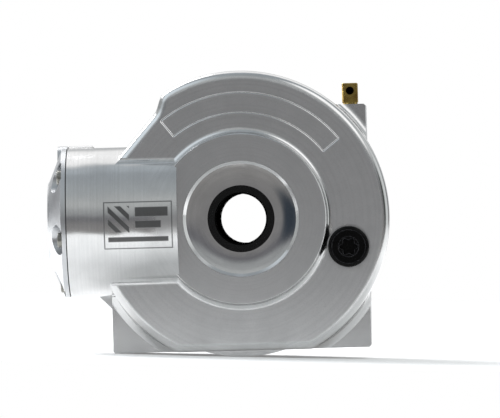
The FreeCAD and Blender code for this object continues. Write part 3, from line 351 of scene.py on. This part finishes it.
def paperFloor():
    # seamless white paper with a painted glow that is weaker near the case, so it stays white up to the shadow
    angle = math.radians(-90 - floorLook["tilt"])
    normal = Vector((-math.cos(angle), 0, -math.sin(angle)))
    along = Vector((normal.z, 0, -normal.x))
    start = -normal * floorLook["touchR"]
    side, front, back = floorLook["side"], floorLook["front"], floorLook["back"]
    corners = [start + along * x + Vector((0, y, 0))
               for x, y in ((-side, -front), (side, -front), (side, back), (-side, back))]
    mesh = bpy.data.meshes.new("paperFloor")
    mesh.from_pydata(corners, [], [(0, 1, 2, 3)])
    floor = bpy.data.objects.new("paperFloor", mesh)
    bpy.context.scene.collection.objects.link(floor)
    mat, tree, shader = newMaterial("seamlessPaper", Roughness=0.95)
    place = millimetres(tree)
    tooth = addNode(tree, "ShaderNodeTexNoise",
                    {"Vector": place, "Scale": 1 / floorLook["toothSize"], "Detail": 2.0})
    colour = addNode(tree, "ShaderNodeMix", {0: tooth, 6: hexColour(floorLook["colour"]),
                                             7: hexColour(floorLook["tooth"])}, data_type="RGBA")
    tree.links.new(colour.outputs[2], shader.inputs["Base Color"])
    shader.inputs["Emission Color"].default_value = hexColour("#ffffff")
    near, far = floorLook["paintedGlow"]
    liftStart, liftEnd = floorLook["paintedGlowSpan"]
    away = distanceFrom(tree, place, (1, 1, 0))
    # painted glow, weaker near the case so the paper there is painted darker
    paintedGlow = addNode(tree, "ShaderNodeMapRange", {0: away, 1: liftStart, 2: liftEnd, 3: near, 4: far},
                   interpolation_type="SMOOTHSTEP")
    tree.links.new(paintedGlow.outputs[0], shader.inputs["Emission Strength"])
    shader.inputs["Specular IOR Level"].default_value = 0.0
    mesh.materials.append(mat)


paperFloor()
print("floor laid")

# a room seen by the metal, and one softbox overhead
roomLook = {
    "levels": [  # elevation, colour of the room there
        (-40, "#bbbab6"), (-20, "#989796"), (-2, "#8f8e8e"), (6, "#76767a"), (14, "#a6a9aa"), (28, "#c2c5c5"),
        (55, "#acb2b5"), (80, "#a6adb2"), (90, "#b9c1c7"),
    ],
    # soft patches: azimuth from the camera side (right positive), elevation, inner and outer angle,
    # colour, level
    "patches": [
        (180, 40, 34, 46, "#ffffff", 1.2),
        (180, 0, 20, 40, "#c8cacb", 1.0),
        (-20, -1, 4, 13, "#39414b", 1.0),
        (61, 5, 6, 16, "#3a403b", 1.0),
        (95, 10, 12, 30, "#e8ecec", 1.0),
        (50, 42, 12, 24, "#ffffff", 1.5),
        (-52, 40, 6, 34, "#e9f3fa", 1.15),
    ],
}


def roomDirection(azimuth, elevation):
    a, e = math.radians(azimuth), math.radians(elevation)
    return Vector((math.sin(a) * math.cos(e), -math.cos(a) * math.cos(e), math.sin(e)))


def studioRoom():
    world = bpy.data.worlds.new("studioRoom")
    bpy.context.scene.world = world
    world.use_nodes = True
    tree = world.node_tree
    tree.nodes.clear()
    coords = addNode(tree, "ShaderNodeTexCoord").outputs["Generated"]
    split = addNode(tree, "ShaderNodeSeparateXYZ", {0: coords}).outputs
    first, colour = roomLook["levels"][0]
    colour = hexColour(colour)
    for height, code in roomLook["levels"][1:]:
        bottom, top = math.sin(math.radians(first)), math.sin(math.radians(height))
        step = addNode(tree, "ShaderNodeMapRange", {0: split["Z"], 1: bottom, 2: top},
                       interpolation_type="SMOOTHSTEP")
        colour = addNode(tree, "ShaderNodeMix", {0: step, 6: colour, 7: hexColour(code)}, data_type="RGBA")
        first = height
    for azimuth, elevation, inner, outer, code, level in roomLook["patches"]:
        toward = addNode(tree, "ShaderNodeVectorMath", {0: coords, 1: roomDirection(azimuth, elevation)},
                         operation="DOT_PRODUCT")
        inside = addNode(tree, "ShaderNodeMapRange",
                         {0: toward, 1: math.cos(math.radians(outer)), 2: math.cos(math.radians(inner))},
                         interpolation_type="SMOOTHSTEP")
        lit = tuple(c * level for c in hexColour(code)[:3]) + (1.0,)
        colour = addNode(tree, "ShaderNodeMix", {0: inside, 6: colour, 7: lit}, data_type="RGBA")
    room = addNode(tree, "ShaderNodeBackground", {"Color": colour, "Strength": 1.0})
    plain = addNode(tree, "ShaderNodeBackground", {"Color": (1, 1, 1, 1), "Strength": 1.0})
    seen = addNode(tree, "ShaderNodeLightPath").outputs["Is Camera Ray"]
    both = addNode(tree, "ShaderNodeMixShader", {0: seen, 1: room, 2: plain})
    addNode(tree, "ShaderNodeOutputWorld", {"Surface": both})


def softBox(name, place, target, size, power, colour):
    light = bpy.data.lights.new(name, "AREA")
    light.shape, light.size, light.size_y = "RECTANGLE", size[0], size[1]
    light.energy, light.color = power, hexColour(colour)[:3]
    lamp = bpy.data.objects.new(name, light)
    bpy.context.scene.collection.objects.link(lamp)
    lamp.location = place
    lamp.rotation_euler = (Vector(target) - Vector(place)).to_track_quat("-Z", "Y").to_euler()


studioRoom()
softBox("overheadSoftBox", (-0.72, 0.58, 0.98), (0.05, 0.0, -0.08), (0.9, 0.7), 16.5, "#fbfcff")
print("light set")

# long lens, slightly right of the bore
cameraLook = {"azimuth": 1.7, "elevation": 0.1, "roll": 1.5, "place": (0.1829, -5.9785, 0.0170), "lens": 612.0}


def longLensCamera():
    back = roomDirection(cameraLook["azimuth"], cameraLook["elevation"])
    right = Vector((0, 0, 1)).cross(back).normalized()
    up = back.cross(right)
    roll = math.radians(cameraLook["roll"])
    side = right * math.cos(roll) - up * math.sin(roll)
    top = right * math.sin(roll) + up * math.cos(roll)
    data = bpy.data.cameras.new("longLens")
    data.lens, data.sensor_width = cameraLook["lens"], 36.0
    data.clip_start, data.clip_end = 0.1, 50.0
    camera = bpy.data.objects.new("longLens", data)
    bpy.context.scene.collection.objects.link(camera)
    spin = Matrix((side, top, back)).transposed().to_4x4()
    camera.matrix_world = Matrix.Translation(cameraLook["place"]) @ spin
    bpy.context.scene.camera = camera


longLensCamera()
bpy.context.scene.view_settings.view_transform = "Standard"
print("camera set")
